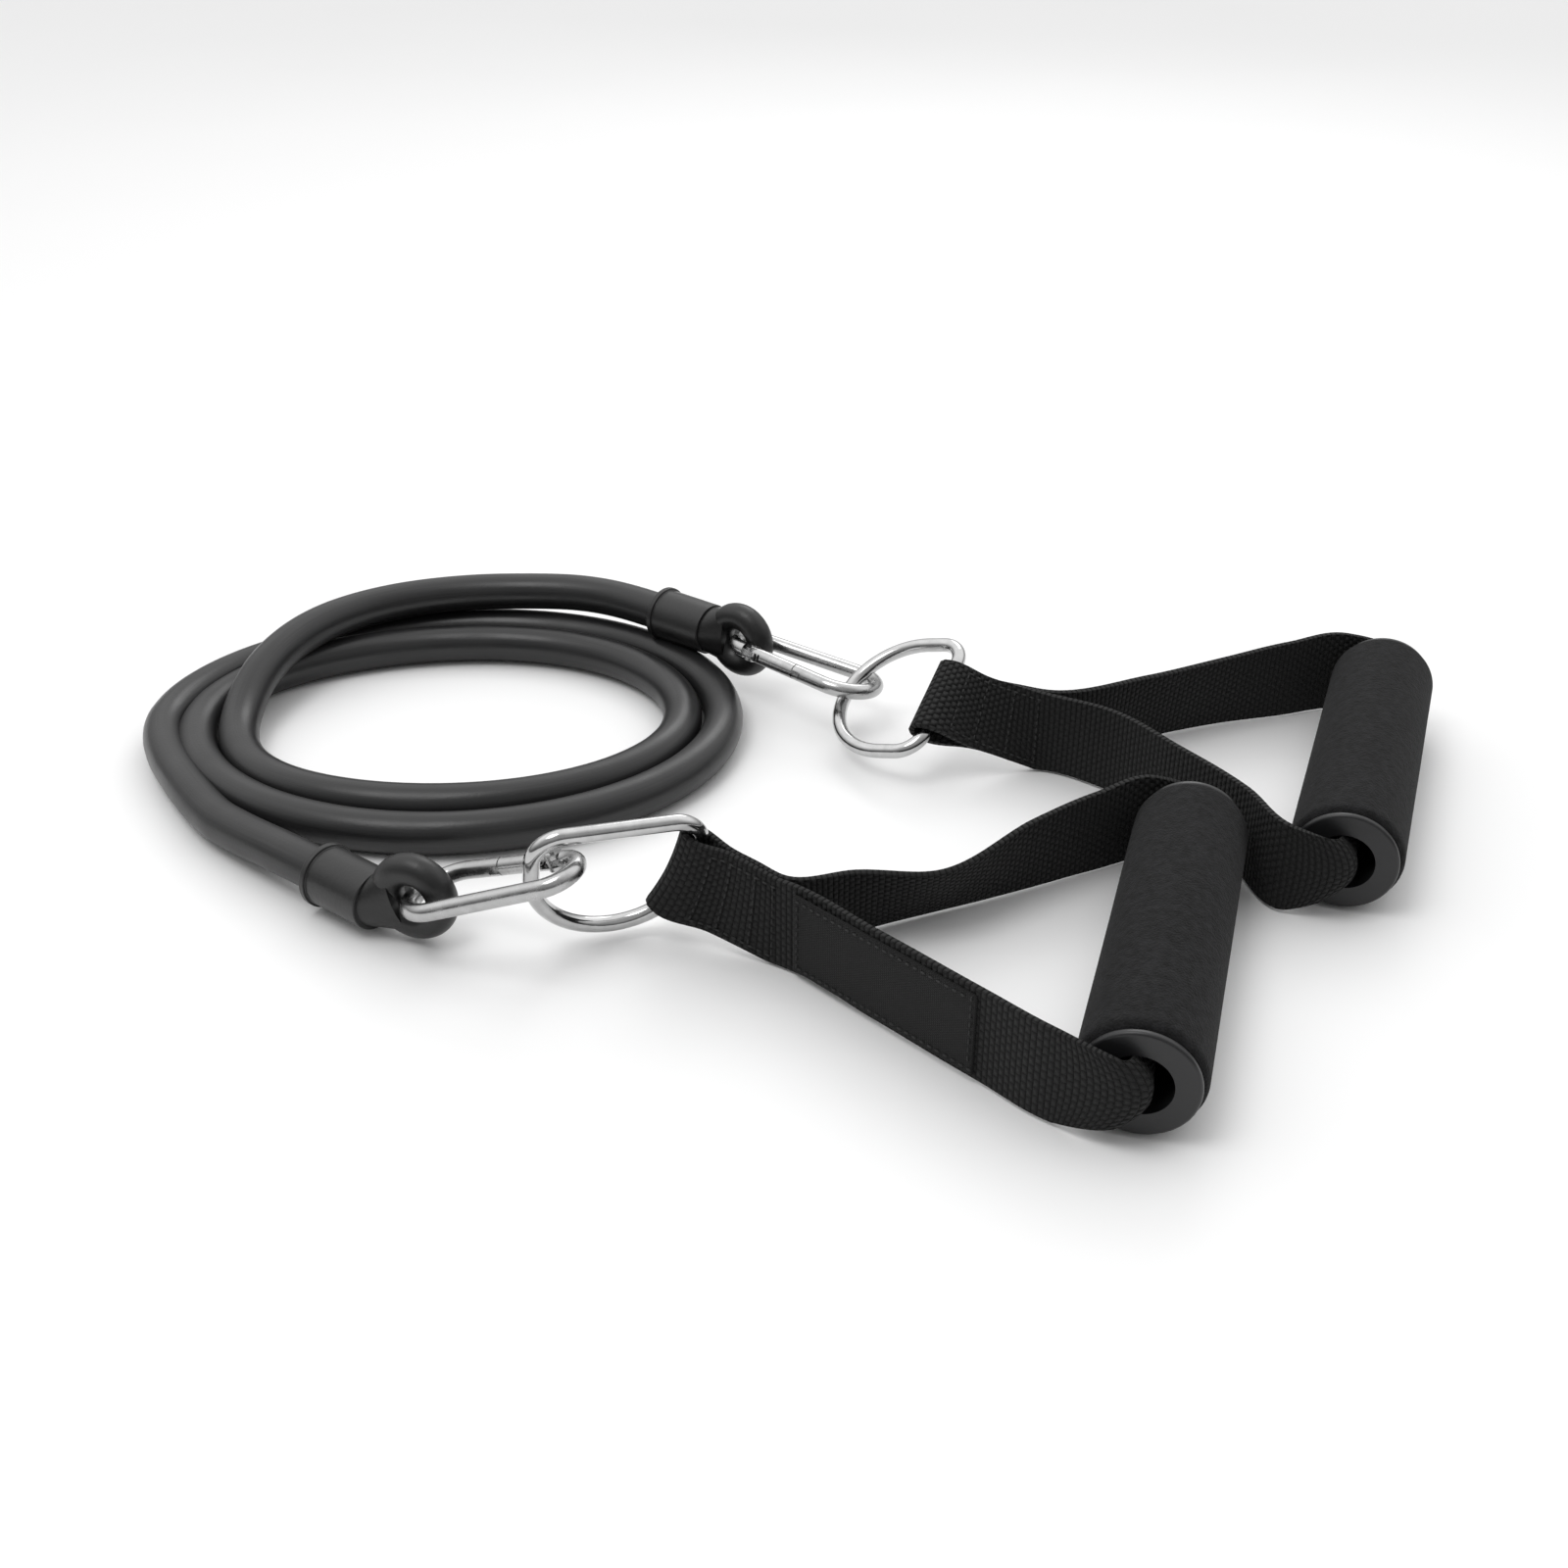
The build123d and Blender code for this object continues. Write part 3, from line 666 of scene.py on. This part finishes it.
# ---------------------------------------------------------------- stitches and label
STITCH_L, STITCH_R, STITCH_PITCH = 2.0, 0.32, 2.8           # mm
SIDES = 6                                                    # round a stitch
SEAM_AT = 0.82                                               # edge seams, share of half width
SEWN_FROM, SEWN_STOP = 7.0, 1.0                              # from the bar, and to the split


def stitch(vertices, faces, start, end, out):
    """One stitch: a short spindle of thread between two points, half sunk in the cloth."""
    run = (end - start).normalized()
    side = run.cross(out).normalized()
    first = len(vertices)
    vertices.append(mm(*start))
    for t in (0.25, 0.75):
        centre = start.lerp(end, t) + out * STITCH_R * 0.7
        for k in range(SIDES):
            a = tau * k / SIDES
            vertices.append(mm(*(centre + (side * cos(a) + out * sin(a)) * STITCH_R)))
    vertices.append(mm(*end))
    low_ring, high_ring = first + 1, first + 1 + SIDES
    tip = high_ring + SIDES
    for k in range(SIDES):
        m = (k + 1) % SIDES
        faces.append((first, low_ring + m, low_ring + k))
        faces.append((low_ring + k, low_ring + m, high_ring + m, high_ring + k))
        faces.append((tip, high_ring + k, high_ring + m))


def sew(vertices, faces, path, out):
    """Stitches at an even pitch along a path of points, on the side that out points to."""
    left = 0.0
    for start, end in zip(path, path[1:]):
        run = end - start
        while left < run.length:
            here = start + run.normalized() * left
            stitch(vertices, faces, here, here + run.normalized() * STITCH_L, out)
            left += STITCH_PITCH
        left -= run.length


def sewn_rows(side, rows, sign):
    """Rows of one ply between the ring and the point where the plies part."""
    root = Vector(side["marks"][1])
    split = Vector((*side["split"], root.z))
    run = (split - root).normalized()
    half = rows[:len(rows) // 2] if sign > 0 else rows[len(rows) // 2:]
    reach = (split - root).length
    return [r for r in half if SEWN_FROM < (r[1] - root).dot(run) < reach - SEWN_STOP]


def sew_strap(name, side, rows):
    """The sewn box of both plies: a seam along each edge and four across."""
    vertices, faces = [], []
    for sign in (1, -1):
        box = sewn_rows(side, rows, sign)
        outs = []
        for before, after in zip(box, box[1:] + box[-1:]):
            run = after[1] - before[1] if after is not before else box[-1][1] - box[-2][1]
            outs.append(run.cross(before[2] - before[0]).normalized())
        face = WEB_T / 2
        for w in (-SEAM_AT, SEAM_AT):
            path = [across_row(r, w) + o * face for r, o in zip(box, outs)]
            sew(vertices, faces, path, outs[len(outs) // 2])
        for i in (0, len(box) // 3, 2 * len(box) // 3, len(box) - 1):
            path = [across_row(box[i], w / 10) + outs[i] * face for w in range(-8, 9)]
            sew(vertices, faces, path, outs[i])
    return new_mesh(name, vertices, faces, THREAD)


LABEL_L, LABEL_H, LABEL_T = 68.0, 26.0, 0.8
LABEL_FROM, LABEL_OFF = 7.0, 0.05                            # from the split, off the cloth
LABEL_COLUMNS, LABEL_LINES = 69, 27                          # points along and up
SEAM_IN = 1.6                                                # the label's seam from its edge


def make_label():
    """Blank label on the near strap's front ply, and the thread round its edge."""
    split = Vector((*NEAR["split"], 0))
    run = (Vector((*NEAR["front_via"][-1], 0)) - split).normalized()
    out = Vector((run.y, -run.x, 0))
    middle = WEB_LOW + WEB_W / 2
    level = WEB_T / 2 + LABEL_OFF + LABEL_T / 2

    def place(x, z, lift):
        swell = 0.12 * noise.noise(Vector((x * 0.08, z * 0.08, 2.0)))
        return split + run * (LABEL_FROM + x) + out * (lift + swell) + Vector((0, 0, middle + z))

    vertices, faces, uvs = [], [], []
    for i in range(LABEL_COLUMNS):
        for j in range(LABEL_LINES):
            x = LABEL_L * i / (LABEL_COLUMNS - 1)
            z = LABEL_H * (j / (LABEL_LINES - 1) - 0.5)
            vertices.append(mm(*place(x, z, level)))
            uvs.append((x * MM, z * MM))
    for i in range(LABEL_COLUMNS - 1):
        for j in range(LABEL_LINES - 1):
            a = i * LABEL_LINES + j
            faces.append((a, a + LABEL_LINES, a + LABEL_LINES + 1, a + 1))
    label = new_mesh("near_label", vertices, faces, LABEL, uvs)
    solid = label.modifiers.new("thickness", "SOLIDIFY")
    solid.thickness = LABEL_T * MM
    solid.offset = 0.0
    start, end, half = SEAM_IN, LABEL_L - SEAM_IN, LABEL_H / 2 - SEAM_IN
    corners = [(start, -half), (end, -half), (end, half), (start, half), (start, -half)]
    path = [place(x, z, level + LABEL_T / 2) for x, z in corners]
    thread_points, thread_faces = [], []
    sew(thread_points, thread_faces, path, out)
    return label, new_mesh("near_label_stitches", thread_points, thread_faces, THREAD)


# ---------------------------------------------------------------- foam grips
FOAM_R, FOAM_BORE = 17.5, 12.6
CAP_T = 2.5
EDGE_R, EDGE_STEPS = 3.0, 6                      # rounding of the foam's end edges
AROUND, ALONG = 96, 60                           # points round and along a sleeve
UNEVEN = 0.006                                   # share of the radius
FOAM_FLOOR = 0.05                                # least height of the foam


def make_foam(name, side, seed):
    """Foam sleeve turned on its axis, with soft rounded ends and a faint unevenness."""
    grip, run = Vector(side["grip_at"]), Vector(side["grip_dir"]).normalized()
    up = Vector((0, 0, 1))
    sideways = run.cross(up)
    first, last = CAP_T, GRIP_L - CAP_T
    edge = []                                    # (in from the end, radius), wide to narrow
    for k in range(EDGE_STEPS + 1):
        a = radians(90 * k / EDGE_STEPS)
        edge.append((EDGE_R * (1 - sin(a)), FOAM_R - EDGE_R * (1 - cos(a))))
    profile = [(first, FOAM_BORE)]
    profile += [(first + inward, r) for inward, r in reversed(edge)]
    for k in range(1, ALONG):
        profile.append((first + EDGE_R + (last - first - 2 * EDGE_R) * k / ALONG, FOAM_R))
    profile += [(last - inward, r) for inward, r in edge]
    profile.append((last, FOAM_BORE))
    vertices, faces = [], []
    for along, r in profile:
        for k in range(AROUND):
            a = tau * k / AROUND
            where = Vector((along * 0.02, cos(a) * 0.8, sin(a) * 0.8 + seed))
            wobble = 1 + UNEVEN * noise.noise(where) if r > FOAM_BORE else 1
            point = grip + run * along + (sideways * cos(a) + up * sin(a)) * r * wobble
            point.z = max(point.z, FOAM_FLOOR)
            vertices.append(mm(*point))
    for i in range(len(profile)):
        n = (i + 1) % len(profile)
        for k in range(AROUND):
            m = (k + 1) % AROUND
            faces.append((i * AROUND + k, i * AROUND + m, n * AROUND + m, n * AROUND + k))
    return new_mesh(name, vertices, faces, FOAM)


for end, side, seed in (("near", NEAR, 3.0), ("far", FAR, 11.0)):
    strap, length, rows = make_strap(end + "_webbing", side)
    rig.ride(strap, end + "_strap")
    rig.replaces(strap, end + "_strap")
    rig.slot(strap, "webbing")
    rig.sheet(strap, flat=(WEB_W * MM, round(length, 3)), held="folded",
             rests_on=[end + "_d_ring"])
    thread = sew_strap(end + "_strap_stitches", side, rows)
    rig.ride(thread, end + "_strap")
    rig.slot(thread, "webbing")
    grip = make_foam(end + "_foam_sleeve", side, seed)
    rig.ride(grip, end + "_grip")
    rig.replaces(grip, end + "_grip_foam")
    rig.slot(grip, "grip_foam")
    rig.padded(grip, fill=0.9)


label, label_thread = make_label()
for piece in (label, label_thread):
    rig.ride(piece, "near_strap")
    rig.slot(piece, "label_cloth")
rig.replaces(label, "near_strap_label")
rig.sheet(label, flat=(LABEL_H * MM, LABEL_L * MM), held="laid", rests_on=["near_webbing"])


# ---------------------------------------------------------------- CAD nodes that stay
FINISHES = {
    "end_sleeve": SLEEVE_RUBBER, "end_loop": EYE_RUBBER, "ferrule": SPRING,
    "hook_body": HOOK, "hook_gate": HOOK, "hook_gate_pin": HOOK, "hook_gate_spring": SPRING,
    "d_ring": RING, "grip_core": CORE, "grip_front_cap": PLASTIC, "grip_rear_cap": PLASTIC,
}
for name, node in frame["nodes"].items():
    finish = FINISHES.get(name.split("_", 1)[1])
    if finish:
        give(node, finish)


# ---------------------------------------------------------------- floor and light
FLOOR_HALF = 30.0                                # metres
# surround's strength by direction: from and to along the axis, then the strengths there
SURROUND = {"Z": (0.02, 0.55, 0.14, 1.3), "Y": (-0.55, 0.15, 0.35, 1.0)}


def make_floor():
    """Plain pale floor."""
    data = bpy.data.meshes.new("floor")
    shape = bmesh.new()
    bmesh.ops.create_grid(shape, x_segments=1, y_segments=1, size=FLOOR_HALF)
    shape.to_mesh(data)
    shape.free()
    floor = bpy.data.objects.new("floor", data)
    bpy.context.scene.collection.objects.link(floor)
    paint = Nodes("floor", (0.93, 0.93, 0.93), 0.55)
    paint.rough(paint.spread(paint.noise(3.0, 2.0), 0.5, 0.6))
    give(floor, paint.material)
    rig.stage(floor)


def area_light(name, place, size, power):
    """Round soft light aimed at the middle of the floor."""
    data = bpy.data.lights.new(name, "AREA")
    data.shape = "DISK"
    data.size = size
    data.energy = power
    light = bpy.data.objects.new(name, data)
    bpy.context.scene.collection.objects.link(light)
    light.location = place
    light.rotation_euler = (-Vector(place)).to_track_quat("-Z", "Y").to_euler()


def studio_world():
    """White surround, dim near the horizon and on the camera's side, bright overhead.

    The camera itself sees it white.
    """
    world = bpy.data.worlds.new("world")
    world.use_nodes = True
    nodes, links = world.node_tree.nodes, world.node_tree.links
    place = nodes.new("ShaderNodeTexCoord")
    split = nodes.new("ShaderNodeSeparateXYZ")
    links.new(place.outputs["Generated"], split.inputs[0])
    product = nodes.new("ShaderNodeMath")
    product.operation = "MULTIPLY"
    for socket, (axis, limits) in zip(product.inputs, SURROUND.items()):
        ramp = nodes.new("ShaderNodeMapRange")
        for key, value in zip(("From Min", "From Max", "To Min", "To Max"), limits):
            ramp.inputs[key].default_value = value
        links.new(split.outputs[axis], ramp.inputs["Value"])
        links.new(ramp.outputs["Result"], socket)
    seen = nodes.new("ShaderNodeLightPath")
    most = nodes.new("ShaderNodeMath")
    most.operation = "MAXIMUM"
    links.new(product.outputs[0], most.inputs[0])
    links.new(seen.outputs["Is Camera Ray"], most.inputs[1])
    links.new(most.outputs[0], nodes["Background"].inputs["Strength"])
    nodes["Background"].inputs["Color"].default_value = (1.0, 1.0, 1.0, 1.0)
    bpy.context.scene.world = world


make_floor()
area_light("key", (-0.5, -0.3, 1.3), 0.7, 4.5)
area_light("back", (0.2, 1.2, 0.9), 0.7, 2.5)
studio_world()
bpy.context.scene.view_settings.view_transform = "Standard"

low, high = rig.bounds()
with open("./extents.json") as handle:
    sizes = json.load(handle)
sizes["visual"] = [list(low), list(high)]
with open("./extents.json", "w") as handle:
    json.dump(sizes, handle)
